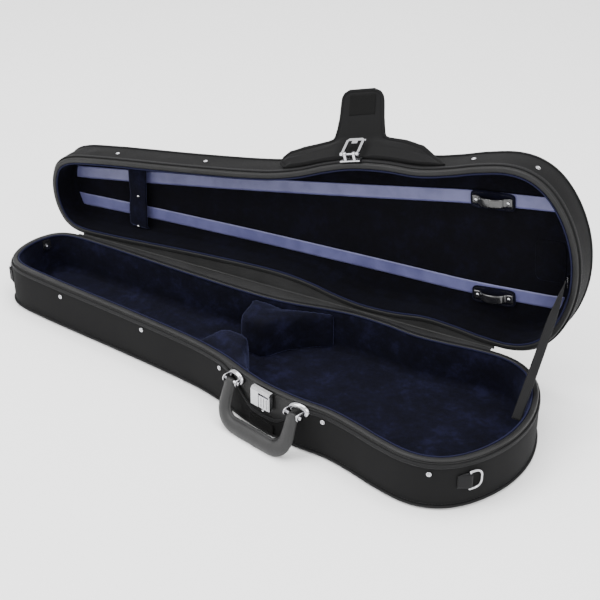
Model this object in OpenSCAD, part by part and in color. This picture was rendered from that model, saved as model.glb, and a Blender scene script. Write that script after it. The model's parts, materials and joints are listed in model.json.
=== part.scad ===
/* [Case] */
// Overall length of the case body
case_len = 790; // [760:5:820]
// Half width of the neck section
neck_hw = 69; // [62:0.5:74]
// Half width at the upper bout
upper_hw = 108.5; // [100:0.5:116]
// Half width at the waist
waist_hw = 107; // [98:0.5:112]
// Half width at the lower bout
lower_hw = 124.5; // [118:0.5:132]
// Height of the base from the floor to its rim
base_h = 67; // [60:1:80]
// Depth of the lid from its rim to its top
lid_d = 49; // [42:1:60]

/* [Walls] */
// Thickness of the canvas outer cover
canvas_t = 1.7; // [1:0.1:2.5]
// Thickness of the rigid shell wall
shell_t = 7; // [5:0.5:9]
// Thickness of the plush lining
plush_t = 2.2; // [1.5:0.1:3]
// Thickness of the shell floor and the shell top
shell_floor_t = 4.5; // [3:0.5:6]
// Gap between the closed base rim and lid rim
rim_gap = 0.6; // [0.4:0.1:1.5]

/* [Lid hinge] */
// Angle that the lid is stored open by
open_deg = 90.7; // [80:0.1:100]
// Yaw of the hinge line from the long axis
hinge_yaw = 5.8; // [4:0.1:7]
// Distance from the long axis to the hinge line, at mid length
hinge_y = 97.3; // [95:0.1:105]
// Drop of the hinge line below the base rim
hinge_drop = 8; // [4:0.5:12]

/* [Handle] */
// Distance between the two handle eyes
handle_span = 103; // [90:1:110]
// Reach of the grip from its pivots
handle_reach = 51; // [45:1:60]
// Radius of the padded grip
grip_r = 9; // [6:0.5:9]
// Outward lean of the resting handle
handle_lean = 20; // [12:1:30]
// Radius of the handle pins
pin_r = 2; // [1.5:0.1:2.5]

/* [Ribbons] */
// Width of the bow ribbons
ribbon_w = 18; // [12:1:22]
// Thickness of the bow ribbons
ribbon_t = 0.8; // [0.5:0.1:1.5]

/* [Flap] */
// Length of the flap's tongue beyond its crossbar
flap_len = 66; // [55:1:72]
// Width of the flap's tongue
flap_w = 72; // [56:1:76]
// Thickness of the padded flap
flap_t = 2.6; // [2:0.2:4]
// Backward lean of the flap's crossbar from square to the wall
flap_lean = 66; // [55:1:70]
// Upward bend of the tongue out of the crossbar
flap_bend = 33; // [20:1:40]
// Backward lean of the resting hasp bail
hasp_lean = 66; // [50:1:70]

/* [Hidden] */
$fn = 40;
e = 0.01;

// ---- outline: stations along the long axis, as [x, half width], front half ----
hl = case_len/2;
stations = [[-0.990*hl, 0.38*neck_hw], [-0.957*hl, 0.70*neck_hw], [-0.891*hl, 0.87*neck_hw],
    [-0.760*hl, 0.93*neck_hw], [-0.608*hl, 0.96*neck_hw], [-0.456*hl, 0.985*neck_hw],
    [-0.304*hl, 1.02*neck_hw], [-0.167*hl, 1.06*neck_hw], [-0.051*hl, 1.12*neck_hw],
    [0.051*hl, 0.785*upper_hw], [0.152*hl, 0.895*upper_hw], [0.253*hl, 0.975*upper_hw],
    [0.367*hl, upper_hw], [0.481*hl, waist_hw], [0.582*hl, 0.905*lower_hw],
    [0.671*hl, 0.965*lower_hw], [0.767*hl, lower_hw], [0.843*hl, 0.955*lower_hw],
    [0.906*hl, 0.82*lower_hw], [0.957*hl, 0.585*lower_hw], [0.990*hl, 0.29*lower_hw]];
n_st = len(stations);
ctrl = concat([[-hl, 0]], [for (s = stations) [s[0], -s[1]]], [[hl, 0]],
    [for (i = [n_st-1:-1:0]) [stations[i][0], stations[i][1]]]);
n_c = len(ctrl);
function cp(i) = ctrl[(i + 2*n_c) % n_c];
// Catmull-Rom point between control points i and i+1
function cr(i, t) = let(a = cp(i-1), b = cp(i), c = cp(i+1), d = cp(i+2))
    0.5*((2*b) + (c - a)*t + (2*a - 5*b + 4*c - d)*t*t + (3*b - a - 3*c + d)*t*t*t);
sub = 2;
outl = [for (i = [0:n_c-1]) for (k = [0:sub-1]) cr(i, k/sub)];
n_o = len(outl);
function op(i) = outl[(i + n_o) % n_o];
function nrm(i) = let(v = op(i+1) - op(i-1), l = norm(v)) [v[1]/l, -v[0]/l];
// outline moved out by d (in, when d is negative)
function moved(d) = [for (i = [0:n_o-1]) op(i) + d*nrm(i)];

module solid(d, z0, z1) { translate([0, 0, z0]) linear_extrude(z1 - z0) polygon(moved(d)); }
module ring(d_out, d_in, z0, z1) {
    translate([0, 0, z0]) linear_extrude(z1 - z0)
        polygon(points = concat(moved(d_out), moved(d_in)),
            paths = [[for (i = [0:n_o-1]) i], [for (i = [0:n_o-1]) n_o + i]]);
}

// ---- layer offsets from the outside of the canvas ----
o_shell = -canvas_t - 0.2;
o_shell_in = o_shell - shell_t;
o_lin = o_shell_in - 0.2;
o_lin_in = o_lin - plush_t;
z_floor = 1.7 + shell_floor_t;
z_pad = z_floor + 0.1 + 2.6;
z_lid = base_h + rim_gap;
z_top = z_lid + lid_d;
z_lid_in = z_top - canvas_t - 0.2 - shell_floor_t;
z_lid_face = z_lid_in - 0.2 - plush_t;

// ---- frames ----
hinge_p = [0, hinge_y, base_h - hinge_drop];
hx = [cos(hinge_yaw), sin(hinge_yaw), 0];
hn = [-sin(hinge_yaw), cos(hinge_yaw), 0];
module at_hinge() { translate(hinge_p) rotate([0, 0, hinge_yaw]) children(); }
module opened(a = open_deg) {
    translate(hinge_p) rotate([0, 0, hinge_yaw]) rotate([-a, 0, 0])
        rotate([0, 0, -hinge_yaw]) translate(-hinge_p) children();
}
// a point of the closed lid, moved to the open pose
function open_pt(p, a = open_deg) = let(q = p - hinge_p, u = q*hx, v = q*hn, w = q[2])
    hinge_p + u*hx + (v*cos(a) + w*sin(a))*hn + (-v*sin(a) + w*cos(a))*[0, 0, 1];
// the front hardware stands square to the shoulder, at this point of the wall
hw_p = [96, -105.5, 0];
hw_yaw = -9.07;
module at_front() { translate(hw_p) rotate([0, 0, hw_yaw]) children(); }
module x_cyl(r, x0, x1) { translate([x0, 0, 0]) rotate([0, 90, 0]) cylinder(r = r, h = x1 - x0); }
module y_cyl(r, y0, y1) { translate([0, y1, 0]) rotate([90, 0, 0]) cylinder(r = r, h = y1 - y0); }
module rbox(p0, p1, r = 1.5) {
    // a plate with round vertical edges
    translate([p0[0], p0[1], p0[2]]) linear_extrude(p1[2] - p0[2]) {
        translate([r, 0]) square([p1[0] - p0[0] - 2*r, p1[1] - p0[1]]);
        translate([0, r]) square([p1[0] - p0[0], p1[1] - p0[1] - 2*r]);
        for (x = [r, p1[0] - p0[0] - r], y = [r, p1[1] - p0[1] - r]) translate([x, y]) circle(r);
    }
}
// the window in the canvas behind the lock and the handle brackets
module front_window() {
    at_front() translate([0, 25, 0]) rotate([90, 0, 0]) linear_extrude(60)
        polygon([[-70, 90], [-66, 57], [-40, 45], [-22, 27.5], [26, 27.5], [40, 45], [66, 57], [70, 90]]);
}

// ================= base =================
module base_bottom_panel() { color([0.05, 0.05, 0.06]) solid(0, 0, 1.6); }
module base_shell() { color([0.13, 0.13, 0.13]) difference() {
    solid(o_shell, 1.7, base_h - 4.1);
    solid(o_shell_in, z_floor, base_h);
} }
module base_canvas_cover() { color([0.05, 0.05, 0.06]) difference() {
    ring(0, -canvas_t, 1.7, base_h - 9);
    front_window();
} }
module base_canvas_binding() { color([0.09, 0.09, 0.09]) difference() {
    ring(0.8, -canvas_t, base_h - 8.9, base_h - 5);
    front_window();
} }
module base_bottom_welt() { color([0.07, 0.07, 0.07]) ring(2.6, 0.1, 1.7, 4.9); }
module base_rim() { color([0.16, 0.16, 0.16]) ring(o_shell, o_shell_in, base_h - 4, base_h); }
module base_rim_piping() { color([0.10, 0.12, 0.25]) ring(o_lin, o_lin_in, base_h - 1.8, base_h); }
module base_wall_lining() { color([0.05, 0.05, 0.14]) ring(o_lin, o_lin_in, z_pad + 0.1, base_h - 1.9); }
module base_floor_pad() { color([0.06, 0.06, 0.16]) solid(o_lin, z_floor + 0.1, z_pad); }

// The two lobes that hold the neck between the scroll section and the body section.
cr_top = base_h - 4.5;
module cradle_plan() {
    // front lobe, against the front wall
    polygon([[-44, -95], [-40, -64], [-34, -36], [-29, -20], [-21, -14.5], [5, -14.5], [13, -18],
        [18, -27], [25, -41], [35, -56], [48, -69], [62, -79], [76, -85], [76, -110]]);
}
module cradle_body() {
    intersection() {
        translate([0, 0, z_pad + 0.1]) linear_extrude(cr_top - z_pad) cradle_plan();
        solid(o_lin_in - 0.1, z_pad, base_h);
    }
}
module neck_cradle_front() { color([0.07, 0.08, 0.20]) cradle_body(); }
module neck_cradle_rear() { color([0.07, 0.08, 0.20]) mirror([0, 1, 0]) cradle_body(); }

// A short leather tab with a snap ring inside the scroll end.
// outline point of the rear wall nearest to y = 20 at the scroll end
sc_i = n_o - 2;
sc_n = nrm(sc_i);
module at_scroll() { translate([op(sc_i)[0] + (o_lin_in - 1.1)*sc_n[0], op(sc_i)[1] + (o_lin_in - 1.1)*sc_n[1], base_h - 5])
    rotate([0, 0, atan2(-sc_n[1], -sc_n[0])]) children(); }
module scroll_tab() { color([0.04, 0.04, 0.05]) at_scroll() difference() {
    translate([0, -6, -12]) cube([1.6, 12, 14]);
    translate([-1, 0, -8]) rotate([0, 90, 0]) cylinder(r = 1.55, h = 4);
} }
module scroll_snap() { color([0.8, 0.8, 0.82]) at_scroll() union() {
    translate([0.1, 0, -8]) rotate([0, 90, 0]) cylinder(r = 1.5, h = 2);
    translate([1.65, 0, -8]) rotate([0, 90, 0]) cylinder(r = 4, h = 1.6);
    translate([3.2, 0, -8]) rotate([0, 90, 0]) cylinder(r = 2, h = 1.2);
} }

// Press studs: a flat ring with a small round cap, square to the wall at outline point i.
module stud(p, yaw, r = 3.4) {
    translate(p) rotate([0, 0, yaw]) union() {
        y_cyl(r, -0.9, -0.05);
        y_cyl(r*0.55, -1.9, -0.8);
    }
}
// index of the front outline point nearest to a station x
function near_i(x) = let(m = [for (i = [0:n_o/2]) abs(outl[i][0] - x)]) search(min(m), m)[0];
// point of the front wall at x, and its yaw (0 = facing -Y)
function wall_y(x) = let(i = near_i(x), j = outl[i][0] > x ? i - 1 : i, a = outl[j], b = outl[j+1])
    a[1] + (b[1] - a[1])*(x - a[0])/(b[0] - a[0]);
function wall_yaw(x) = let(i = near_i(x), j = outl[i][0] > x ? i - 1 : i, a = outl[j], b = outl[j+1])
    atan2(b[1] - a[1], b[0] - a[0]);
module wall_stud(x, z) { stud([x, wall_y(x), z], wall_yaw(x)); }
module base_press_studs() { color([0.8, 0.8, 0.82]) union() {
    for (s = [[-270, 49], [-122, 51], [17, 52], [186, 52], [335, 49]]) wall_stud(s[0], s[1]);
    at_front() stud([1, 2, 31.5], 0, 2.6);
} }

// ---- lock: base plate with a striker lip, a smooth face and a sprung thumb slide ----
module lock_base() { color([0.78, 0.78, 0.8]) at_front() difference() {
    union() {
        translate([-11, -1.7, 40]) cube([30.5, 1.6, 25.8]);
        translate([-11, -7, 41]) cube([12.5, 6, 20]);
        translate([-11, -7, 61.9]) cube([30.5, 6, 3.9]);
        translate([-11, -7, 60.9]) cube([12.5, 6, 1.2]);
        translate([17.9, -6, 41]) cube([1.6, 5, 21]);
    }
    translate([-30, -9, 63.6]) rotate([-40, 0, 0]) translate([0, -6, 0]) cube([60, 8, 6]);
} }
module lock_slide() { color([0.8, 0.8, 0.82]) at_front() union() {
    translate([1.9, -6.4, 41]) cube([15.6, 4.5, 17.2]);
    for (x = [4, 8.5, 13]) translate([x, -7.4, 42.5]) cube([1.8, 1.1, 14]);
} }

// ---- handle ----
ax_out = 6;
ax_z = 57;
handle_x = 6;
module at_pivots() { at_front() translate([handle_x, -ax_out, ax_z]) children(); }
module bracket(yl, yr) {
    // the back plate follows the wall from yl at its left edge to yr at its right
    translate([0, 0, -11]) linear_extrude(19.8) polygon([[-13, 7], [13, 7], [13, yr], [-13, yl]]);
    for (x = [-11.6, 9.6]) {
        translate([x, -4.5, -5.5]) cube([2, 12, 11]);
        translate([x, -4.5, 0]) x_cyl(5.5, 0, 2);
        translate([x, -1, 4]) cube([2, 8.5, 4.6]);
    }
    translate([-13, 1, 7]) cube([26, 6.5, 1.8]);
    x_cyl(pin_r, -12.6, 12.6);
}
module handle_bracket_left() { color([0.8, 0.8, 0.82]) at_pivots() translate([-handle_span/2, 0, 0]) bracket(11.2, 7.9); }
module handle_bracket_right() { color([0.8, 0.8, 0.82]) at_pivots() translate([handle_span/2, 0, 0]) bracket(9.6, 14.3); }
module arc(R, r, a) { rotate_extrude(angle = a) translate([R, 0]) circle(r); }
module handle_grip() { color([0.16, 0.16, 0.16]) at_pivots() rotate([-handle_lean, 0, 0]) difference() {
    union() {
        for (s = [-1, 1]) {
            translate([s*handle_span/2, 0, 0]) x_cyl(6.6, -8.8, 8.8);
            translate([s*(handle_span/2 + 1), 0, -(handle_reach - 22)]) cylinder(r = 6.2, h = handle_reach - 22 - 1);
        }
        // corners and the bar, in the plane of the loop
        rotate([90, 0, 0]) {
            translate([-(handle_span/2 + 1) + 22, -(handle_reach - 22), 0]) rotate([0, 0, 180]) arc(22, grip_r, 90);
            translate([(handle_span/2 + 1) - 22, -(handle_reach - 22), 0]) rotate([0, 0, 270]) arc(22, grip_r, 90);
        }
        translate([0, 0, -handle_reach]) x_cyl(grip_r, -(handle_span/2 - 21), handle_span/2 - 21);
    }
    for (s = [-1, 1]) translate([s*handle_span/2, 0, 0]) x_cyl(pin_r + 0.06, -20, 20);
} }

// ---- strap rings: a tab sewn flat to the wall, and a D that turns in its fold ----
dr = [24, 15, 1.5];   // inside height, reach, wire radius
module dring() {
    h = dr[0]/2; rr = h*0.75;
    cylinder(r = dr[2], h = 2*h, center = true);
    for (s = [-1, 1]) translate([0, 0, s*h]) {
        sphere(dr[2]);
        rotate([0, 90, 0]) cylinder(r = dr[2], h = dr[1] - rr);
    }
    for (s = [0, 1]) translate([dr[1] - rr, 0, 0]) mirror([0, 0, s]) translate([0, 0, h - rr])
        rotate([90, 0, 0]) arc(rr, dr[2], 90);
    translate([dr[1], 0, 0]) cylinder(r = dr[2], h = 2*(h - rr), center = true);
}
module dtab() {
    // folded webbing around the ring's straight side
    difference() {
        union() {
            translate([-15, 1.6, -9]) cube([15, 1.4, 18]);
            cylinder(r = 3.1, h = 18, center = true);
            translate([-13, -1.6, -9]) cube([13, 4.5, 18]);
        }
        cylinder(r = dr[2] + 0.1, h = 40, center = true);
        translate([-20, -9, 3.05]) rotate([0, 0, 0]) translate([-1, 12.06, -20]) cube([30, 5, 40]);
    }
}
dr_x = 0.935*hl;
dl_x = -0.974*hl;
dr_yaw = wall_yaw(dr_x);
dl_yaw = wall_yaw(dl_x);
dr_p = [dr_x + 3.5*sin(dr_yaw), wall_y(dr_x) - 3.5*cos(dr_yaw), 38];
dl_p = [dl_x + 3.5*sin(dl_yaw), wall_y(dl_x) - 3.5*cos(dl_yaw), 38];
module at_dr() { translate(dr_p) rotate([0, 0, dr_yaw]) children(); }
module at_dl() { translate(dl_p) rotate([0, 0, dl_yaw]) mirror([1, 0, 0]) children(); }
module dring_tab_right() { color([0.04, 0.04, 0.04]) at_dr() dtab(); }
module dring_right() { color([0.8, 0.8, 0.82]) at_dr() dring(); }
module dring_tab_left() { color([0.04, 0.04, 0.04]) at_dl() dtab(); }
module dring_left() { color([0.8, 0.8, 0.82]) at_dl() dring(); }

// hook-and-loop patch under the lock
module base_flap_patch() { color([0.03, 0.03, 0.03]) at_front() rotate([90, 0, 0]) translate([0, 0, 0.35])
    rbox([-20, 6, 0], [20, 19, 1.2], 2); }

// ================= hinge side =================
// flat vinyl leaves that fill the recess between the walls and the straight hinge line
module leaf(z0, z1) { difference() {
    intersection() {
        at_hinge() translate([-395, -60, z0 - hinge_p[2]]) cube([790, 59.2, z1 - z0]);
        translate([-352, 20, z0 - 1]) cube([640, 120, z1 - z0 + 2]);
    }
    solid(0.9, z0 - 2, z1 + 2);
} }
module gusset_base_leaf() { color([0.2, 0.2, 0.2]) leaf(base_h - 1.6, base_h - 0.4); }
module gusset_lid_leaf() { color([0.2, 0.2, 0.2]) opened() leaf(z_lid + 0.4, z_lid + 1.6); }
module hinge_tape() { color([0.2, 0.2, 0.2]) at_hinge() translate([0, 4.3, 4.6]) rotate([-37, 0, 0])
    translate([-340, -5, -0.5]) cube([640, 10, 1]); }

// stay: webbing from the lid's rim to the inside of the base wall
stay_a = open_pt([hl - 18, 15, z_lid + 3]);
stay_b = [hl - 28, 34, base_h - 22];
module stay_strap() { color([0.13, 0.13, 0.13])
    let(v = stay_b - stay_a, l = norm(v), az = atan2(v[1], v[0]), el = acos(v[2]/l))
    translate(stay_a + v/l*4) rotate([0, 0, az]) rotate([0, el, 0])
        translate([-0.7, -6, 0]) cube([1.4, 12, l - 8]); }
module stay_base_anchor() { color([0.8, 0.8, 0.82]) translate([hl - 17.6, 33, base_h - 26]) rotate([0, 0, 16]) union() {
    translate([-0.6, -7, -10]) cube([1.4, 14, 14]);
    translate([-1.6, -3.5, -3]) rotate([0, 90, 0]) cylinder(r = 2, h = 1.2);
    translate([-1.6, 3.5, -3]) rotate([0, 90, 0]) cylinder(r = 2, h = 1.2);
} }

// ================= lid (drawn closed, then opened) =================
module lid_shell() { color([0.13, 0.13, 0.13]) opened() difference() {
    solid(o_shell, z_lid + 4.1, z_top - canvas_t - 0.2);
    solid(o_shell_in, z_lid, z_lid_in);
} }
module lid_canvas_cover() { color([0.05, 0.05, 0.06]) opened() difference() {
    solid(0, z_lid + 9, z_top);
    solid(-canvas_t, z_lid, z_top - canvas_t);
} }
module lid_canvas_binding() { color([0.09, 0.09, 0.09]) opened() difference() {
    ring(0.8, -canvas_t, z_lid + 5, z_lid + 8.9);
    at_front() translate([-14, -10, z_lid - 2]) cube([28, 20, 12]);
} }
module lid_top_welt() { color([0.07, 0.07, 0.07]) opened() ring(1.6, 0.1, z_top - 4, z_top - 1); }
module lid_rim() { color([0.16, 0.16, 0.16]) opened() ring(o_shell, o_shell_in, z_lid, z_lid + 4); }
module lid_rim_piping() { color([0.10, 0.12, 0.25]) opened() ring(o_lin, o_lin_in, z_lid, z_lid + 1.8); }
module lid_lining() { color([0.04, 0.04, 0.10]) opened() difference() {
    solid(o_lin, z_lid + 1.9, z_lid_in - 0.1);
    solid(o_lin_in, z_lid, z_lid_face);
} }
module lid_stud(x, z) { wall_stud(x, z); }
module lid_press_studs() { color([0.8, 0.8, 0.82]) opened() union() {
    for (s = [[-281, z_lid + 22], [-135, z_lid + 24], [254, z_lid + 26], [335.6, z_lid + 22]]) lid_stud(s[0], s[1]);
} }
module stay_lid_anchor() { color([0.8, 0.8, 0.82]) opened() translate([hl - 15.6, 15, z_lid + 6]) union() {
    translate([0, -7, -5]) cube([1.4, 14, 12]);
    for (y = [-3.5, 3.5]) translate([-1.1, y, 3]) rotate([0, 90, 0]) cylinder(r = 2, h = 1.2);
} }

// bow ribbons run the lid's length and part towards the lower bout
z_rib = z_lid_face - 1.4 - ribbon_t;
module ribbon(s) { opened() translate([0, 0, z_rib]) linear_extrude(ribbon_t) {
    w = ribbon_w/2;
    polygon([[-376, s*21 - w], [-240, s*28 - w], [-80, s*38 - w], [120, s*53 - w], [240, s*63 - w], [352, s*66 - w],
        [352, s*66 + w], [240, s*63 + w], [120, s*53 + w], [-80, s*38 + w], [-240, s*28 + w], [-376, s*21 + w]]);
} }
module bow_ribbon_upper() { color([0.30, 0.31, 0.60]) ribbon(-1); }
module bow_ribbon_lower() { color([0.30, 0.31, 0.60]) ribbon(1); }
// a velvet strap across both ribbons keeps the bow tips
z_tip = z_rib - 9;
module bow_tip_strap() { color([0.05, 0.05, 0.13]) opened() union() {
    translate([0, 0, z_tip]) linear_extrude(2.2)
        polygon([[-272, -50], [-240, -50], [-254, 52], [-286, 52]]);
    // feet that stand on the lining beyond and between the ribbons
    for (f = [[-271, -49.6, 2], [-272, -6, 12], [-284, 44, 7.6]]) difference() {
        translate([f[0], f[1], z_tip + 2]) cube([f[2] == 12 ? 22 : 28, f[2] == 2 ? 10 : f[2] == 12 ? 12 : 7.6, z_lid_face - z_tip - 2.1]);
    }
} }
module bow_tip_rivets() { color([0.8, 0.8, 0.82]) opened() for (p = [[-255, -45.5], [-262, 0], [-270, 48]])
    translate([p[0], p[1], z_tip - 1.1]) cylinder(r = 2.2, h = 1.05); }
// frog keepers: a leather pad and an arched strap between two rivets
frog = [[273, -62], [272, 70]];
module frog_pad(i) { opened() translate([frog[i][0], frog[i][1], z_rib - 2.3]) rbox([-29, -11.5, 0], [29, 11.5, 2.2], 3); }
module frog_strap(i) { opened() translate([frog[i][0], frog[i][1], z_rib - 2.4]) rotate([90, 0, 0]) translate([0, 0, -7])
    linear_extrude(14) {
    difference() { translate([0, 2]) circle(17.5, $fn = 64); translate([0, 2]) circle(15.9, $fn = 64);
        translate([-30, -1.6]) square([60, 40]); }
    for (s = [-1, 1]) translate([s*20 - 5.5, -1.6]) square([11, 1.6]);
} }
module frog_rivets(i) { opened() for (s = [-1, 1]) translate([frog[i][0] + s*21, frog[i][1], z_rib - 2.4 - 1.6 - 1.3])
    cylinder(r = 2.4, h = 1.25); }
module frog_pad_upper() { color([0.05, 0.05, 0.09]) frog_pad(0); }
module frog_pad_lower() { color([0.05, 0.05, 0.09]) frog_pad(1); }
module frog_strap_upper() { color([0.03, 0.03, 0.03]) frog_strap(0); }
module frog_strap_lower() { color([0.03, 0.03, 0.03]) frog_strap(1); }
module frog_rivets_upper() { color([0.8, 0.8, 0.82]) frog_rivets(0); }
module frog_rivets_lower() { color([0.8, 0.8, 0.82]) frog_rivets(1); }
module lid_pocket_patch() { color([0.05, 0.05, 0.12]) opened() translate([0, 0, z_lid_face - 1.3])
    rbox([326, -18, 0], [366, 38, 1.2], 5); }

// ---- hasp on the lid's front rim ----
hasp_out = 9.2;
hasp_z = z_lid + 4.5;
hasp_x = 2.5;
module at_hasp() { opened() at_front() translate([hasp_x, -hasp_out, hasp_z]) children(); }
module hasp_plate() { color([0.8, 0.8, 0.82]) at_hasp() union() {
    translate([-14, hasp_out - 1.9, -4]) cube([28, 1.5, 10.5]);
    for (s = [-1, 1]) {
        translate([s*6.4 - 1.6, 0, -3]) cube([3.2, hasp_out - 1, 6]);
        translate([s*6.4, 0, 0]) x_cyl(3, -1.6, 1.6);
    }
    x_cyl(1.3, -12, 12);
} }
// the bail lies back over the flap's crossbar
module hasp_bail() { color([0.8, 0.8, 0.82]) at_hasp() rotate([-hasp_lean, 0, 0]) difference() {
    union() {
        translate([-13, -24, -1.3]) cube([3.6, 24, 2.6]);
        translate([9.4, -24, -1.3]) cube([3.6, 24, 2.6]);
        for (s = [-13, 9.4]) translate([s, 0, 0]) x_cyl(2.7, 0, 3.6);
        translate([-13, -27, -1.3]) cube([26, 4.4, 2.6]);
        translate([-4, -23, -1.3]) cube([8, 5, 2.6]);
    }
    x_cyl(1.36, -13.5, 13.5);
    for (s = [-1, 1]) translate([s*13, -27, -3]) rotate([0, 0, 45]) cube([5, 5, 8], center = true);
} }

// ---- padded flap on the lid, raised ----
flap_z = z_lid + 13;
module at_flap() { opened() at_front() translate([0, -3.2, flap_z]) rotate([-flap_lean, 0, 0]) children(); }
module at_tongue() { at_flap() translate([-1, -32, 0]) rotate([flap_bend, 0, 0]) children(); }
module lid_flap() { color([0.05, 0.05, 0.05]) union() {
    // the crossbar tapers to its ends
    at_flap() linear_extrude(flap_t)
        polygon([[-106, 0], [-114, -8], [-112, -18], [-102, -25], [-80, -29], [-44, -33], [40, -33],
            [66, -31], [90, -26], [104, -18], [118, -8], [126, 0]]);
    // the tongue has a round tip
    w = flap_w/2;
    at_tongue() linear_extrude(flap_t) polygon([[-w, 0.8], [-w + 1.5, -14], [-w + 4, -30], [-w + 4.5, -flap_len + 12],
        [-w + 8, -flap_len + 4], [-w + 15, -flap_len], [w - 15, -flap_len], [w - 8, -flap_len + 4],
        [w - 4.5, -flap_len + 12], [w - 4, -30], [w - 1.5, -14], [w, 0.8]]);
} }
module flap_patch() { color([0.02, 0.02, 0.02]) at_tongue() translate([0, 0, -1.15])
    rbox([-17, -flap_len + 8, 0], [17, -flap_len + 33, 1.1], 1.5); }

base_bottom_panel();
base_shell();
base_canvas_cover();
base_canvas_binding();
base_bottom_welt();
base_rim();
base_rim_piping();
base_wall_lining();
base_floor_pad();
neck_cradle_front();
neck_cradle_rear();
scroll_tab();
scroll_snap();
base_press_studs();
lock_base();
lock_slide();
handle_bracket_left();
handle_bracket_right();
handle_grip();
dring_tab_right();
dring_right();
dring_tab_left();
dring_left();
base_flap_patch();
gusset_base_leaf();
hinge_tape();
stay_strap();
stay_base_anchor();
lid_shell();
lid_canvas_cover();
lid_canvas_binding();
lid_top_welt();
lid_rim();
lid_rim_piping();
lid_lining();
gusset_lid_leaf();
lid_press_studs();
stay_lid_anchor();
bow_ribbon_upper();
bow_ribbon_lower();
bow_tip_strap();
bow_tip_rivets();
frog_pad_upper();
frog_strap_upper();
frog_rivets_upper();
frog_pad_lower();
frog_strap_lower();
frog_rivets_lower();
lid_pocket_patch();
hasp_plate();
hasp_bail();
lid_flap();
flap_patch();
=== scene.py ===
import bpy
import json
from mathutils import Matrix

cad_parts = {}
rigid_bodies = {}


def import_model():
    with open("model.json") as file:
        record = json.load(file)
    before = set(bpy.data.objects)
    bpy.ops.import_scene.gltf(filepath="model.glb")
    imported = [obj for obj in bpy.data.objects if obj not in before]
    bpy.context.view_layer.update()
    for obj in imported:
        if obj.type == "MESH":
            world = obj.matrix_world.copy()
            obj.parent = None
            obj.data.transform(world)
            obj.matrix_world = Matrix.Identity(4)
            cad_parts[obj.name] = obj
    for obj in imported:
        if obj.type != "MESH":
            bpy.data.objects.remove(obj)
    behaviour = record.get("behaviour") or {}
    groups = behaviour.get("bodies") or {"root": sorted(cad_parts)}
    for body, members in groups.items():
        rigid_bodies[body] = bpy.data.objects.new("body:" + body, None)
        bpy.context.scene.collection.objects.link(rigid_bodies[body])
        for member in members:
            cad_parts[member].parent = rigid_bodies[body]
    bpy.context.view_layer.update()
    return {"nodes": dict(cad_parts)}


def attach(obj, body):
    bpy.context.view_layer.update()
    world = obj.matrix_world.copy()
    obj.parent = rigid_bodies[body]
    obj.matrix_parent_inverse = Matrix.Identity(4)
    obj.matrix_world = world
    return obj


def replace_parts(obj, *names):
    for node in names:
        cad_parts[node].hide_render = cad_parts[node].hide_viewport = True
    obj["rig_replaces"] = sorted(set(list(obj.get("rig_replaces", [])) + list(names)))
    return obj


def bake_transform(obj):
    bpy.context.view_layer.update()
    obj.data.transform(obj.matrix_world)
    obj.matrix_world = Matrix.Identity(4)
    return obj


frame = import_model()
import bpy, bmesh, math, json
import numpy as np
from mathutils import Vector, Matrix

pi = math.pi

# ------------------------------------------------------------------ frames (mm)
HL = 395.0
NECK, UPPER, WAIST, LOWER = 69.0, 108.5, 107.0, 124.5
BASE_H, Z_LID, Z_TOP = 67.0, 67.6, 116.6
O_SHELL, O_SHELL_IN, O_LIN, O_LIN_IN = -1.9, -8.9, -9.1, -11.3
Z_FACE = Z_TOP - 1.7 - .2 - 4.5 - .2 - 2.2
Z_RIB = Z_FACE - 1.4 - .8
A_OPEN = math.radians(90.7)
YAW = math.radians(5.8)
HP = np.array([0, 97.3, 59.0])
HX = np.array([math.cos(YAW), math.sin(YAW), 0])
HN = np.array([-math.sin(YAW), math.cos(YAW), 0])
EZ = np.array([0, 0, 1.0])
FY = math.radians(-9.07)
FX = np.array([math.cos(FY), math.sin(FY), 0])
FN = np.array([-math.sin(FY), math.cos(FY), 0])
FP = np.array([96, -105.5, 0.0])


def opened(p):
    p = np.asarray(p, float)
    q = p - HP
    u, v, w = q @ HX, q @ HN, q[..., 2]
    c, s = math.cos(A_OPEN), math.sin(A_OPEN)
    return (HP + u[..., None] * HX + (v * c + w * s)[..., None] * HN
            + (-v * s + w * c)[..., None] * EZ)


def front(p):
    p = np.asarray(p, float)
    return FP + p[..., 0:1] * FX + p[..., 1:2] * FN + p[..., 2:3] * EZ


def same(p):
    return np.asarray(p, float)


# ------------------------------------------------------------------ outline
half = [(-.990, .38 * NECK), (-.957, .70 * NECK), (-.891, .87 * NECK), (-.760, .93 * NECK),
        (-.608, .96 * NECK), (-.456, .985 * NECK), (-.304, 1.02 * NECK), (-.167, 1.06 * NECK),
        (-.051, 1.12 * NECK), (.051, .785 * UPPER), (.152, .895 * UPPER), (.253, .975 * UPPER),
        (.367, UPPER), (.481, WAIST), (.582, .905 * LOWER), (.671, .965 * LOWER), (.767, LOWER),
        (.843, .955 * LOWER), (.906, .82 * LOWER), (.957, .585 * LOWER), (.990, .29 * LOWER)]
ctrl = np.array([(-HL, 0)] + [(x * HL, -y) for x, y in half] + [(HL, 0)]
                + [(x * HL, y) for x, y in reversed(half)])


def smooth_closed(c, sub):
    a, b, d, e = np.roll(c, 1, 0), c, np.roll(c, -1, 0), np.roll(c, -2, 0)
    t = (np.arange(sub) / sub)[None, :, None]
    a, b, d, e = (q[:, None, :] for q in (a, b, d, e))
    r = .5 * (2 * b + (d - a) * t + (2 * a - 5 * b + 4 * d - e) * t ** 2 + (3 * b - a - 3 * d + e) * t ** 3)
    return r.reshape(-1, 2)


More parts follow.
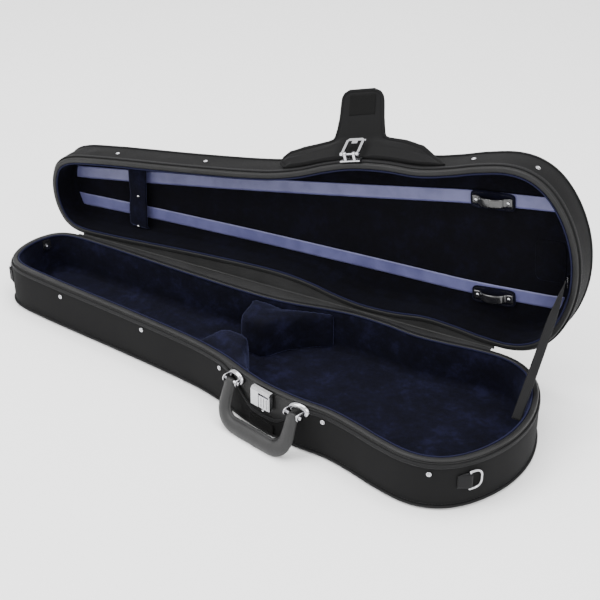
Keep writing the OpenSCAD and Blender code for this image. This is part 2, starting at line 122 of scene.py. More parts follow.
fine = smooth_closed(ctrl, 60)
nf = len(fine) // 2
fh = fine[:nf + 1]
sh = np.r_[0, np.cumsum(np.linalg.norm(np.diff(fh, axis=0), axis=1))]
NH = 240                                    # spans along each side
sk = np.linspace(0, sh[-1], NH + 1)
fs = np.c_[np.interp(sk, sh, fh[:, 0]), np.interp(sk, sh, fh[:, 1])]
fs[0], fs[-1] = (-HL, 0), (HL, 0)
OUT = np.vstack([fs, (fs * [1, -1])[-2:0:-1]])
N = len(OUT)
v_ = np.roll(OUT, -1, 0) - np.roll(OUT, 1, 0)
v_ /= np.linalg.norm(v_, axis=1)[:, None]
NRM = np.c_[v_[:, 1], -v_[:, 0]]
ARC = np.r_[sk, sk[-1] + (sk[-1] - sk[-2:0:-1])]
LOOP = 2 * sk[-1]


def loop(d, z):
    """points of the outline moved out by d, at height z; d and z may be arrays of length N"""
    d = np.broadcast_to(np.asarray(d, float), (N,))
    z = np.broadcast_to(np.asarray(z, float), (N,))
    return np.c_[OUT + d[:, None] * NRM, z]


def at_arc(s, d=0.0):
    """point and yaw of the outline at arc length s"""
    s = np.asarray(s, float) % LOOP
    P = np.vstack([OUT, OUT[:1]]); L = np.r_[ARC, LOOP]; Q = np.vstack([NRM, NRM[:1]])
    p = np.stack([np.interp(s, L, P[:, 0]), np.interp(s, L, P[:, 1])], -1)
    n = np.stack([np.interp(s, L, Q[:, 0]), np.interp(s, L, Q[:, 1])], -1)
    n /= np.linalg.norm(n, axis=-1)[..., None]
    return p + np.asarray(d)[..., None] * n if np.ndim(d) else p + d * n, n


# local x of each outline point in the front hardware frame
LX = (np.c_[OUT, np.zeros(N)] - FP) @ FX
LX[OUT[:, 1] > 0] = 1e3


def wob(a, b, k=1.0, seed=0):
    """smooth repeatable unevenness from a few sines, about -1..1"""
    r = np.random.RandomState(seed)
    o = 0
    for i in range(7):
        th, f, ph = r.uniform(0, 2 * pi), r.uniform(.5, 1.9) * k, r.uniform(0, 2 * pi)
        o = o + np.sin(f * (a * math.cos(th) + b * math.sin(th)) + ph) / 7 * 1.6
    return o


# ------------------------------------------------------------------ mesh helpers
MATS = {}


def mk(name, V, F, mat, uv=None, smooth=True, fix=True):
    me = bpy.data.meshes.new(name)
    me.from_pydata((np.asarray(V, float) / 1000).tolist(), [], [tuple(map(int, f)) for f in F])
    if uv is not None:
        lay = me.uv_layers.new(name="UVMap")
        flat = np.array([c for f in uv for c in f], float) / 1000
        lay.data.foreach_set("uv", flat.ravel())
    me.validate(); me.update()
    if fix:
        bm = bmesh.new(); bm.from_mesh(me)
        bmesh.ops.remove_doubles(bm, verts=bm.verts, dist=2e-6)
        bmesh.ops.recalc_face_normals(bm, faces=bm.faces)
        bm.to_mesh(me); bm.free()
    if smooth:
        me.polygons.foreach_set("use_smooth", [True] * len(me.polygons))
    o = bpy.data.objects.new(name, me)
    bpy.context.scene.collection.objects.link(o)
    me.materials.append(MATS[mat])
    return o


def grid_faces(n, m, cn, cm, base=0):
    F, idx = [], []
    for i in range(n if cn else n - 1):
        for j in range(m if cm else m - 1):
            i2, j2 = (i + 1) % n, (j + 1) % m
            F.append((base + i * m + j, base + i2 * m + j, base + i2 * m + j2, base + i * m + j2))
            idx.append((i, j))
    return F, idx


def grid(name, P, mat, cn=False, cm=False, uv=None, ulen=None, **kw):
    """quads over P[n, m, 3] with arc-length UVs in mm, wrapping where closed"""
    P = np.asarray(P, float)
    n, m = P.shape[:2]
    F, idx = grid_faces(n, m, cn, cm)
    U = np.zeros((n + 1, m + 1, 2))
    if uv is not None:
        U[:n, :m] = uv
        U[n, :m] = 2 * uv[-1] - uv[-2] if n > 1 else uv[-1]
        U[:, m] = 2 * U[:, m - 1] - U[:, m - 2]
    else:
        a = np.linalg.norm(np.diff(np.concatenate([P, P[:1]]), axis=0), axis=-1).mean(1)
        b = np.linalg.norm(np.diff(np.concatenate([P, P[:, :1]], 1), axis=1), axis=-1).mean(0)
        U[..., 0] = np.r_[0, np.cumsum(a)][:, None]
        U[..., 1] = np.r_[0, np.cumsum(b)][None]
    uvs = [[U[i, j], U[i + 1, j], U[i + 1, j + 1], U[i, j + 1]] for i, j in idx]
    return mk(name, P.reshape(-1, 3), F, mat, uvs, **kw)


def sweep(name, D, Z, mat, closed=True, xf=same, **kw):
    """a profile of (offset, height) pairs run round the outline; D, Z are [m] or [N, m]"""
    D, Z = np.asarray(D, float), np.asarray(Z, float)
    if D.ndim == 1: D = np.broadcast_to(D, (N, len(D)))
    if Z.ndim == 1: Z = np.broadcast_to(Z, (N, Z.shape[-1]))
    P = np.stack([loop(D[:, j], Z[:, j]) for j in range(D.shape[1])], 1)
    return grid(name, xf(P), mat, cn=True, cm=closed, **kw)


def round_profile(d0, d1, z0, z1, r, k=4):
    """closed rounded rectangle in (offset, height)"""
    D, Z = [], []
    for cx, cz, a0 in ((d1 - r, z1 - r, 0), (d0 + r, z1 - r, 90), (d0 + r, z0 + r, 180), (d1 - r, z0 + r, 270)):
        for t in np.linspace(0, 90, k):
            a = math.radians(a0 + t)
            D.append(cx + r * math.cos(a)); Z.append(cz + r * math.sin(a))
    return np.array(D), np.array(Z)


def tube_profile(d, z, r, k=12):
    a = np.linspace(0, 2 * pi, k, endpoint=False)
    return d + r * np.cos(a), z + r * np.sin(a)


def path_frames(C, up):
    T = np.gradient(C, axis=0); T /= np.linalg.norm(T, axis=1)[:, None]
    S = np.cross(T, up); S /= np.linalg.norm(S, axis=1)[:, None]
    return T, S, np.cross(S, T)


def strip(name, C, up, w, t, mat, k=9, bulge=0.0, **kw):
    """a flat band of width w and thickness t along the centre line C, square to up"""
    C = np.asarray(C, float)
    _, S, U = path_frames(C, np.asarray(up, float))
    w = np.broadcast_to(w, (len(C),)); rows = []
    s = np.linspace(-1, 1, k)
    top = [(a, t / 2 + bulge * (1 - a * a)) for a in s]
    bot = [(a, -t / 2 + bulge * (1 - a * a)) for a in s[::-1]]
    prof = top + bot
    P = np.stack([C + (a * w / 2)[:, None] * S + b * U for a, b in prof], 1)
    o = grid(name, P, mat, cm=True, **kw)
    return cap_ends(o, len(C), len(prof))


def cap_ends(o, n, m):
    bm = bmesh.new(); bm.from_mesh(o.data)
    be = [e for e in bm.edges if e.is_boundary]
    if be:
        bmesh.ops.holes_fill(bm, edges=be, sides=0)
    bmesh.ops.recalc_face_normals(bm, faces=bm.faces)
    bm.to_mesh(o.data); bm.free()
    return o


def tube(name, C, r, mat, up=(0, 0, 1), k=12, close=False, **kw):
    C = np.asarray(C, float)
    if close:
        T = np.roll(C, -1, 0) - np.roll(C, 1, 0); T /= np.linalg.norm(T, axis=1)[:, None]
        S = np.cross(T, up); S /= np.linalg.norm(S, axis=1)[:, None]; U = np.cross(S, T)
    else:
        T, S, U = path_frames(C, np.asarray(up, float))
    r = np.broadcast_to(r, (len(C),))
    a = np.linspace(0, 2 * pi, k, endpoint=False)
    P = C[:, None] + r[:, None, None] * (np.cos(a)[None, :, None] * S[:, None] + np.sin(a)[None, :, None] * U[:, None])
    o = grid(name, P, mat, cn=close, cm=True, **kw)
    return o if close else cap_ends(o, len(C), k)


def lathe(rz, k=28):
    """vertices and faces of a turned form from (radius, height) pairs, closed on its axis"""
    rz = np.asarray(rz, float); m = len(rz)
    a = np.linspace(0, 2 * pi, k, endpoint=False)
    V = np.stack([np.outer(np.cos(a), rz[:, 0]), np.outer(np.sin(a), rz[:, 0]), np.broadcast_to(rz[:, 1], (k, m))], -1)
    F, _ = grid_faces(k, m, True, False)
    return V.reshape(-1, 3), F


def gather(name, parts, mat, **kw):
    V, F, o = [], [], 0
    for v, f in parts:
        V.append(v); F += [tuple(np.array(q) + o) for q in f]; o += len(v)
    return mk(name, np.vstack(V), F, mat, **kw)


def frame_of(n, up=(0, 0, 1)):
    """columns x, y, z with z along n"""
    n = np.asarray(n, float) / np.linalg.norm(n)
    x = np.cross(up, n)
    if np.linalg.norm(x) < 1e-4: x = np.cross((0, 1, 0), n)
    x /= np.linalg.norm(x)
    return np.c_[x, np.cross(n, x), n]


RIVET = [(0, 1.5), (.9, 1.45), (1.7, 1.15), (2.15, .6), (2.3, 0), (2.3, -.3), (0, -.3)]
STUD = [(0, 1.2), (.55, 1.12), (.95, .8), (1.05, .3), (1.2, .08), (2.0, .05), (2.2, .75), (2.55, 1.1), (2.9, 1.0),
        (3.15, .6), (3.2, 0), (0, 0)]


def place(rz, p, n, s=1.0, xf=None, k=28):
    V, F = lathe(np.array(rz) * s, k)
    V = V @ frame_of(n).T + np.asarray(p, float)
    return (xf(V) if xf else V), F


def stitches(name, s0, s1, d, z, xf=same, pitch=3.6, length=2.5, r=.24, mat="thread", skip=None):
    """a row of thread stitches along the outline; d and z are functions of arc length"""
    n = int((s1 - s0) / pitch)
    parts, base = [], None
    for i in range(n):
        s = s0 + (i + .5) * (s1 - s0) / n
        if skip is not None and skip(s): continue
        q = []
        for ds, lift in ((-.5, -.35), (-.3, .1), (0, .22), (.3, .1), (.5, -.35)):
            t = s + ds * length
            p, nn = at_arc(t, 0.0)
            p = p + (d(t) + lift) * nn
            q.append((p[0], p[1], z(t)))
        q = np.array(q)
        _, S, U = path_frames(q, EZ + 1e-3)
        a = np.linspace(0, 2 * pi, 5, endpoint=False)
        V = (q[:, None] + r * (np.cos(a)[None, :, None] * S[:, None] + np.sin(a)[None, :, None] * U[:, None])).reshape(-1, 3)
        parts.append((xf(V), grid_faces(5, 5, False, True)[0]))
    return gather(name, parts, mat, fix=False)


# ------------------------------------------------------------------ materials
def material(name, color, rough, metallic=0.0, sheen=0.0, sheen_tint=None, coat=0.0, spec=None):
    m = bpy.data.materials.new(name); m.use_nodes = True
    nt = m.node_tree; b = nt.nodes["Principled BSDF"]
    b.inputs["Base Color"].default_value = (*color, 1)
    b.inputs["Roughness"].default_value = rough
    b.inputs["Metallic"].default_value = metallic
    b.inputs["Sheen Weight"].default_value = sheen
    if sheen_tint: b.inputs["Sheen Tint"].default_value = (*sheen_tint, 1)
    b.inputs["Sheen Roughness"].default_value = .35
    b.inputs["Coat Weight"].default_value = coat
    b.inputs["Coat Roughness"].default_value = .12
    if spec is not None: b.inputs["Specular IOR Level"].default_value = spec
    return m, nt, b


def nd(nt, kind, **kw):
    n = nt.nodes.new(kind)
    for k, v in kw.items():
        if hasattr(n, k): setattr(n, k, v)
        else: n.inputs[k.replace("_", " ")].default_value = v
    return n


def coords(nt, uv=False):
    if uv:
        n = nt.nodes.new("ShaderNodeUVMap"); n.uv_map = "UVMap"; return n.outputs["UV"]
    return nt.nodes.new("ShaderNodeTexCoord").outputs["Object"]


def noise(nt, co, scale, detail=3.0, rough=.55):
    n = nd(nt, "ShaderNodeTexNoise", Scale=scale, Detail=detail, Roughness=rough)
    nt.links.new(co, n.inputs["Vector"]); return n.outputs["Fac"]


def ramp(nt, fac, stops):
    n = nt.nodes.new("ShaderNodeValToRGB"); nt.links.new(fac, n.inputs["Fac"])
    e = n.color_ramp.elements
    while len(e) < len(stops): e.new(.5)
    for q, (p, c) in zip(e, stops):
        q.position = p; q.color = (*c, 1) if len(c) == 3 else c
    return n.outputs["Color"]


def math_(nt, op, a, b):
    n = nt.nodes.new("ShaderNodeMath"); n.operation = op
    for i, v in enumerate((a, b)):
        if hasattr(v, "links") or hasattr(v, "is_output"): nt.links.new(v, n.inputs[i])
        else: n.inputs[i].default_value = v
    return n.outputs[0]


def bump(nt, b, height, strength, dist):
    n = nd(nt, "ShaderNodeBump", Strength=strength, Distance=dist)
    nt.links.new(height, n.inputs["Height"]); nt.links.new(n.outputs["Normal"], b.inputs["Normal"])


def weave(nt, co, pitch):
    """warp and weft of a plain weave, one thread every pitch metres"""
    sep = nt.nodes.new("ShaderNodeSeparateXYZ"); nt.links.new(co, sep.inputs[0])
    k = pi / pitch
    u = math_(nt, "SINE", math_(nt, "MULTIPLY", sep.outputs[0], k), 0)
    v = math_(nt, "SINE", math_(nt, "MULTIPLY", sep.outputs[1], k), 0)
    return math_(nt, "MULTIPLY", u, v), sep


def scaled(c, s):
    return tuple(x * s for x in c)


def mat_woven(name, color, rough, pitch, sheen=.25, contrast=.45, strength=.5, uv=True, tint=None):
    m, nt, b = material(name, color, rough, sheen=sheen, sheen_tint=tint or (.5, .5, .52), spec=.12)
    co = coords(nt, uv)
    w, _ = weave(nt, co, pitch)
    w = math_(nt, "ADD", math_(nt, "MULTIPLY", w, .5), .5)
    obj = coords(nt)
    big = noise(nt, obj, 22, 4)
    mix = math_(nt, "ADD", math_(nt, "MULTIPLY", w, .6), math_(nt, "MULTIPLY", big, .5))
    nt.links.new(ramp(nt, mix, [(.2, scaled(color, 1 - contrast)), (.9, scaled(color, 1 + contrast * 1.3))]), b.inputs["Base Color"])
    nt.links.new(ramp(nt, big, [(.3, (rough - .06,) * 3), (.7, (min(1, rough + .06),) * 3)]), b.inputs["Roughness"])
    bump(nt, b, math_(nt, "ADD", w, math_(nt, "MULTIPLY", noise(nt, obj, 1400, 2), .5)), strength, .0003)
    MATS[name] = m


def mat_grain(name, color, rough, scale, strength=.35, coat=0.0, spec=None):
    m, nt, b = material(name, color, rough, coat=coat, spec=spec)
    co = coords(nt)
    vo = nd(nt, "ShaderNodeTexVoronoi", Scale=scale); vo.feature = "DISTANCE_TO_EDGE"
    nt.links.new(co, vo.inputs["Vector"])
    edge = ramp(nt, vo.outputs["Distance"], [(0, (0, 0, 0)), (.18, (1, 1, 1))])
    big = noise(nt, co, 30, 5)
    nt.links.new(ramp(nt, big, [(.3, scaled(color, .8)), (.7, scaled(color, 1.25))]), b.inputs["Base Color"])
    nt.links.new(ramp(nt, noise(nt, co, 14, 4), [(.35, (rough - .08,) * 3), (.7, (rough + .1,) * 3)]), b.inputs["Roughness"])
    bump(nt, b, math_(nt, "ADD", edge, noise(nt, co, scale * 2.2, 2)), strength, .00018)
    MATS[name] = m


def mat_plush(name, color, bright, sheen=.9, tint=(.14, .17, .62)):
    m, nt, b = material(name, color, .95, sheen=sheen, sheen_tint=tint, spec=.1)
    co = coords(nt)
    cl = noise(nt, co, 30, 8, .68)                 # crushed and brushed patches of pile
    st = noise(nt, co, 130, 6, .65)
    mix = math_(nt, "ADD", math_(nt, "MULTIPLY", cl, .65), math_(nt, "MULTIPLY", st, .35))
    nt.links.new(ramp(nt, mix, [(.42, color), (.52, tuple((a * 1.5 + c * .5) / 2 for a, c in zip(color, bright))), (.62, bright)]), b.inputs["Base Color"])
    bump(nt, b, math_(nt, "ADD", math_(nt, "MULTIPLY", noise(nt, co, 2400, 2), .6), math_(nt, "MULTIPLY", st, 1.2)), .7, .0006)
    MATS[name] = m


def mat_metal(name, color, rough):
    m, nt, b = material(name, color, rough, metallic=1)
    co = coords(nt)
    n1 = noise(nt, co, 60, 6, .7)
    nt.links.new(ramp(nt, n1, [(.35, (rough,) * 3), (.75, (rough + .16,) * 3)]), b.inputs["Roughness"])
    nt.links.new(ramp(nt, noise(nt, co, 18, 3), [(.3, scaled(color, .93)), (.7, color)]), b.inputs["Base Color"])
    bump(nt, b, noise(nt, co, 500, 3), .03, .0001)
    MATS[name] = m


def mat_satin(name, color, dark):
    m, nt, b = material(name, color, .38, sheen=.3, sheen_tint=(.55, .56, .85), spec=.55)
    co = coords(nt, True)
    sep = nt.nodes.new("ShaderNodeSeparateXYZ"); nt.links.new(co, sep.inputs[0])
    rib = math_(nt, "SINE", math_(nt, "MULTIPLY", sep.outputs[0], 2 * pi / .0011), 0)
    big = noise(nt, coords(nt), 34, 3)
    mix = math_(nt, "ADD", math_(nt, "MULTIPLY", rib, .16), big)
    nt.links.new(ramp(nt, mix, [(.3, dark), (.7, color)]), b.inputs["Base Color"])
    bump(nt, b, rib, .25, .0002)
    MATS[name] = m


mat_woven("canvas", (.0052, .0052, .0054), .88, .0009, sheen=.04)
mat_woven("binding", (.0080, .0080, .0084), .66, .0007, sheen=.08, contrast=.3)
mat_woven("webbing", (.009, .009, .0095), .75, .0016, sheen=.1, contrast=.5, strength=.8)
mat_woven("thread", (.014, .014, .015), .6, .0006, uv=False, contrast=.2)
mat_woven("hook_tape", (.0035, .0035, .0035), .97, .0012, sheen=.06, contrast=.6, strength=1.0)
mat_grain("leatherette", (.0075, .0075, .0077), .44, 1100, spec=.24)
# vinyl: base colour raised to grey, about twice the other black coverings; the grey is painted sheen over the dark
# vinyl
mat_grain("vinyl", (.017, .017, .0172), .58, 1500, strength=.18, spec=.25)
mat_grain("shell_board", (.0075, .0075, .0077), .42, 1000, spec=.24)
mat_grain("handle_leather", (.012, .012, .0122), .44, 1000, strength=.5, spec=.34)
mat_grain("patent", (.008, .008, .009), .2, 700, strength=.08, coat=.7)
mat_plush("plush", (.0009, .0010, .0034), (.0046, .0049, .0165), sheen=.2, tint=(.22, .24, .55))
mat_plush("plush_lid", (.0006, .0006, .0016), (.0016, .0017, .0052), sheen=.08, tint=(.22, .24, .5))
mat_plush("velvet", (.0010, .0011, .0040), (.0034, .0037, .0130), sheen=.22, tint=(.22, .24, .5))
mat_woven("piping", (.005, .0056, .020), .7, .0008, sheen=.12, uv=True, tint=(.2, .25, .8))
mat_satin("ribbon", (.092, .094, .205), (.048, .049, .128))
mat_metal("chrome", (.50, .50, .52), .13)

PLACED = []


def done(o, body, nodes=()):
    if nodes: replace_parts(o, *nodes)
    if body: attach(o, body)
    PLACED.append(o)
    return o


def puff(o, voxel, pressure, cap_mm, frames=18):
    """lets a padded form swell under its own filling; vertices move at most cap_mm"""
    r = o.modifiers.new("r", "REMESH"); r.mode = "VOXEL"; r.voxel_size = voxel / 1000
    dg = bpy.context.evaluated_depsgraph_get()
    me = bpy.data.meshes.new_from_object(o.evaluated_get(dg))
    o.modifiers.clear(); mats = [s for s in o.data.materials]; o.data = me
    me.materials.clear(); [me.materials.append(x) for x in mats]
    rest = np.array([v.co for v in me.vertices])
    c = o.modifiers.new("c", "CLOTH"); s = c.settings
    s.use_pressure = True; s.uniform_pressure_force = pressure
    s.effector_weights.gravity = 0; s.quality = 5; s.mass = .2
    s.tension_stiffness = 18; s.compression_stiffness = 18; s.bending_stiffness = .8
    sc = bpy.context.scene
    for f in range(1, frames + 1): sc.frame_set(f)
    dg = bpy.context.evaluated_depsgraph_get()
    sim = bpy.data.meshes.new_from_object(o.evaluated_get(dg))
    co = np.array([v.co for v in sim.vertices])
    o.modifiers.clear()
    if co.shape == rest.shape:
        d = co - rest; L = np.linalg.norm(d, axis=1)[:, None] + 1e-12
        co = rest + d * np.minimum(1, cap_mm / 1000 / L)
        me.vertices.foreach_set("co", co.ravel())
    sc.frame_set(1)
    me.polygons.foreach_set("use_smooth", [True] * len(me.polygons)); me.update()
    return o


# ------------------------------------------------------------------ base: outer cover
def gauss(a, s):
    k = np.exp(-.5 * (np.arange(-12, 13) / s) ** 2); k /= k.sum()
    return np.convolve(np.r_[a[-12:], a, a[:12]], k, "valid")


edge = np.interp(LX, [-78, -66, -42, -24, -20, 24, 28, 42, 66, 78], [62, 60, 45, 30, 27.5, 27.5, 30, 45, 60, 62])
edge[LX > 900] = 62
EDGE = gauss(edge, 1.5)
edge_at = lambda s: np.interp(np.asarray(s) % LOOP, np.r_[ARC, LOOP], np.r_[EDGE, EDGE[0]])

t = np.linspace(0, 1, 26)
Zc = 2.2 + t[None] * (EDGE[:, None] - 5 - 2.2)
soft = wob(ARC[:, None] / 26, t[None] * 3.1, 1.0, 3) * .35 * np.sin(pi * t)[None]
Dc = -.25 + .55 * np.sin(pi * t)[None] + soft - .5 * np.exp(-((t - .985) / .03) ** 2)[None]
done(sweep("base_canvas_wall", np.broadcast_to(Dc, Zc.shape), Zc, "canvas", closed=False), "case_base", ["base_canvas_cover"])

# hem bound over the cover's top edge
k = 14
a = np.linspace(0, 1, k)
hd = np.interp(a, [0, .08, .4, .7, .85, 1], [-.6, .45, .8, .75, .2, -1.5])
hz = np.interp(a, [0, .08, .4, .7, .85, 1], [-5.6, -5.2, -3, -.9, -.15, -.35])
done(sweep("base_hem", np.broadcast_to(hd, (N, k)), EDGE[:, None] + hz[None], "binding", closed=False), "case_base", ["base_canvas_binding"])
done(stitches("base_hem_stitches", 0, LOOP, lambda s: .75, lambda s: edge_at(s) - 3.9), "case_base")

done(sweep("base_bottom_piping", *tube_profile(.9, 3.4, 1.65), "binding"), "case_base", ["base_bottom_welt"])
done(stitches("base_bottom_stitches", 0, LOOP, lambda s: .12, lambda s: 6.6), "case_base")


def panel(loop_pts, m=34, bow=None):
    """quad grid across a symmetric loop, from its front side to its back side"""
    f = loop_pts[:NH + 1]; b = np.vstack([loop_pts[:1], loop_pts[:NH:-1], loop_pts[NH:NH + 1]])
    s = np.linspace(0, 1, m)[None, :, None]
    P = f[:, None] * (1 - s) + b[:, None] * s
    if bow is not None:
        edge_d = np.minimum(s[..., 0], 1 - s[..., 0]) * np.linalg.norm(b - f, axis=1)[:, None]
        P[..., 2] += bow(P[..., 0], P[..., 1], edge_d)
    return P


def wall_and_panel(name, D, Z, mat, bow=None, xf=same, m=34):
    """a wall profile [k] or [N, k] that runs on into a panel over its last loop"""
    D, Z = np.asarray(D, float), np.asarray(Z, float)
    if D.ndim == 1: D = np.broadcast_to(D, (N, len(D)))
    if Z.ndim == 1: Z = np.broadcast_to(Z, (N, Z.shape[-1]))
    W = np.stack([loop(D[:, j], Z[:, j]) for j in range(D.shape[1])], 1)
    PN = panel(W[:, -1], m, bow)
    F1, i1 = grid_faces(N, W.shape[1], True, False)
    F2, i2 = grid_faces(NH + 1, m, False, False, base=N * W.shape[1])
    seg = np.r_[0, np.cumsum(np.linalg.norm(np.diff(W, axis=1), axis=-1).mean(0))]
    U = lambda i, j: (ARC[i] if i < N else LOOP, seg[j])
    uv = [[U(i, j), U(i + 1, j), U(i + 1, j + 1), U(i, j + 1)] for i, j in i1]
    uv += [[PN[a_, b_, :2] for a_, b_ in ((i, j), (i + 1, j), (i + 1, j + 1), (i, j + 1))] for i, j in i2]
    V = np.vstack([W.reshape(-1, 3), PN.reshape(-1, 3)])
    return mk(name, xf(V), F1 + F2, mat, uv)


ang = np.linspace(0, pi / 2, 6)
done(wall_and_panel("base_bottom", list(-.1 - 1.9 * (1 - np.cos(ang))), list(2.0 - 1.9 * np.sin(ang)), "canvas"),
     "case_base", ["base_bottom_panel"])

# shell wall seen through the dip in the cover, and the leatherette rim
sd = [O_SHELL + .0, O_SHELL + .15, O_SHELL + .1, O_SHELL, O_SHELL - .5, O_SHELL - .9]
sz = [2.0, 10, 40, 61.5, 62.6, 62.9]
done(sweep("base_shell_skin", sd, sz, "shell_board", closed=False), "case_base", ["base_shell"])
rd, rz_ = round_profile(O_SHELL_IN, O_SHELL, BASE_H - 4.1, BASE_H, 1.9, 6)
rz_ = rz_ + .25 * (rz_ > BASE_H - .8) * 0
done(sweep("base_rim_roll", rd, rz_, "leatherette"), "case_base", ["base_rim"])
done(sweep("base_piping", *tube_profile(-10.1, 66.0, 1.05), "piping"), "case_base", ["base_rim_piping"])

# velour wall lining that rolls softly into the floor
zz = np.r_[np.linspace(65.4, 18, 16), 10 + 8 * np.cos(np.linspace(.15, pi / 2, 8))]
dd = np.r_[np.interp(np.linspace(0, 1, 16), [0, .1, .5, 1], [-9.4, -10.9, -11.6, -11.5]),
           -11.5 - 8 * (1 - np.cos(np.linspace(.15, pi / 2, 8)[::1])) * 1.0]
dd[16:] = -11.5 - 8 * np.sin(np.linspace(.15, pi / 2, 8))
dd[16:] = -11.5 - (8 - 8 * np.cos(np.linspace(.15, pi / 2, 8)))
zz[16:] = 18 - 8 * np.sin(np.linspace(.15, pi / 2, 8))
zz, dd = zz, dd
W = wob(ARC[:, None] / 34, zz[None] / 13, 1, 11) * .7 * np.clip((65 - zz) / 10, 0, 1)[None]
lin = wall_and_panel("base_lining", dd[None] - .5 + W * .8, np.broadcast_to(zz, W.shape), "plush",
                     bow=lambda x, y, e: np.clip(e / 30, 0, 1) * (.5 * wob(x / 30, y / 30, 1, 5) - .3))
done(lin, "case_base", ["base_wall_lining", "base_floor_pad"])

# ------------------------------------------------------------------ neck cradle lobes
plan = np.array([[-44, -95], [-40, -64], [-34, -38], [-29, -22], [-20, -15.5], [-7, -14], [5, -15], [13, -19],
                 [18, -28], [25, -42], [35, -57], [48, -70], [62, -80], [76, -86], [76, -96], [14, -99]], float)


def cradle(name, sy, node):
    c = smooth_closed(plan, 8)
    # keep the lobe inside the lining
    lim = np.interp(c[:, 0], OUT[:NH + 1, 0], OUT[:NH + 1, 1]) + 12.0
    c[:, 1] = np.maximum(c[:, 1], lim)
    cen = np.array([8., -62.])
    rings = []
    zt, zb = 62.0, 9.2
    for z, ins in [(zb, 0), (zb + 4, -.3), (30, -.2), (46, .2), (54, .9), (58.5, 2.2), (60.8, 4.4), (61.9, 8)]:
        v = c - cen; L = np.linalg.norm(v, axis=1)[:, None]
        q = cen + v * (L - ins) / L
        rings.append(np.c_[q, np.full(len(q), z)])
    for f in (.75, .5, .25, .05):
        q = rings[7][:, :2] * f + cen * (1 - f)
        rings.append(np.c_[q, np.full(len(q), zt + .6 * (1 - f))])
    P = np.stack(rings, 1)
    P[..., 1] *= sy
    o = grid(name, P, "plush", cn=True)
    cap_ends(o, 0, 0)
    puff(o, 3.2, 2.2, 2.0)
    return done(o, "case_base", [node])


cradle("cradle_front", 1, "neck_cradle_front")
cradle("cradle_rear", -1, "neck_cradle_rear")

# ------------------------------------------------------------------ lid
tw = np.linspace(0, 1, 20)
zw = 72.8 + tw * (111.5 - 72.8)
soft = wob(ARC[:, None] / 24, tw[None] * 3.5, 1.0, 21) * .6 * np.sin(pi * tw)[None]
# the cover hangs loose over the scroll end
loose = np.exp(-((OUT[:, 0] + 330) / 70) ** 2)[:, None]
soft = soft + loose * .9 * wob(ARC[:, None] / 9, tw[None] * 2.2, 1.0, 8) * np.sin(pi * tw)[None]
ang = np.linspace(0, pi / 2, 8)[1:]
D = np.hstack([-.15 + .5 * np.sin(pi * tw)[None] + soft, np.broadcast_to(-.2 - 5 * (1 - np.cos(ang)), (N, 7))])
Z = np.hstack([np.broadcast_to(zw, (N, 20)), np.broadcast_to(111.5 + 5.0 * np.sin(ang), (N, 7))])
lid_bow = lambda x, y, e: np.clip(e / 45, 0, 1) * 1.2 + np.clip(e / 20, 0, 1) * .5 * wob(x / 22, y / 22, 1, 9)
done(wall_and_panel("lid_canvas", D, Z, "canvas", bow=lid_bow, xf=opened), "lid", ["lid_canvas_cover"])
zh = 76.5 - (hz + 0)
done(sweep("lid_hem", hd, 77.6 - (hz + 5.6) , "binding", closed=False, xf=opened), "lid", ["lid_canvas_binding"])
done(stitches("lid_hem_stitches", 0, LOOP, lambda s: .75, lambda s: 75.6, xf=opened), "lid")
done(sweep("lid_top_piping", *tube_profile(.3, 113.4, 1.5), "binding", xf=opened), "lid", ["lid_top_welt"])
done(sweep("lid_shell_skin", [O_SHELL - .9, O_SHELL, O_SHELL, O_SHELL], [71.7, 72.0, 80, 108], "shell_board", closed=False, xf=opened), "lid", ["lid_shell"])
rd, rz_ = round_profile(O_SHELL_IN, O_SHELL, Z_LID, Z_LID + 4.1, 1.9, 6)
done(sweep("lid_rim_roll", rd, rz_, "leatherette", xf=opened), "lid", ["lid_rim"])
done(sweep("lid_piping", *tube_profile(-10.1, 68.7, 1.05), "piping", xf=opened), "lid", ["lid_rim_piping"])

zz = np.r_[np.linspace(69.2, 98.5, 12), 98.5 + 9 * np.sin(np.linspace(.15, pi / 2, 8))]
dd = np.r_[np.interp(np.linspace(0, 1, 12), [0, .15, 1], [-9.4, -10.9, -11.4]), -11.4 - 9 * (1 - np.cos(np.linspace(.15, pi / 2, 8)))]
W = wob(ARC[:, None] / 30, zz[None] / 12, 1, 31) * .45 * np.clip((zz - 69.5) / 8, 0, 1)[None]
done(wall_and_panel("lid_lining_velour", dd[None] - .3 + W, np.broadcast_to(zz, W.shape), "plush_lid",
                    bow=lambda x, y, e: np.clip(e / 30, 0, 1) * .35 * wob(x / 32, y / 32, 1, 15), xf=opened),
     "lid", ["lid_lining"])

# ribbons
RC = np.array([(-376, 21), (-240, 28), (-80, 38), (120, 53), (240, 63), (352, 66)], float)
for s, nm in ((-1, "upper"), (1, "lower")):
    x = np.linspace(-381, 364, 150)
    y = np.interp(x, RC[:, 0], RC[:, 1]); y = np.convolve(np.pad(y, 6, mode="reflect", reflect_type="odd"), np.ones(13) / 13, "valid")
    end = np.clip(np.minimum(x + 381, 364 - x) / 16, 0, 1)
    z = Z_RIB + .4 + (1 - end) * 1.4 + .12 * wob(x / 40, x * 0, 1, 40 + s)
    o = strip("ribbon_" + nm, opened(np.c_[x, s * y, z]), opened(HP + [0, 0, 1]) - opened(HP), 18, .5, "ribbon", k=9, bulge=.15)
    done(o, "lid", ["bow_ribbon_" + nm])

UPL = opened(HP + EZ) - opened(HP)                 # the lid's own upward direction, opened


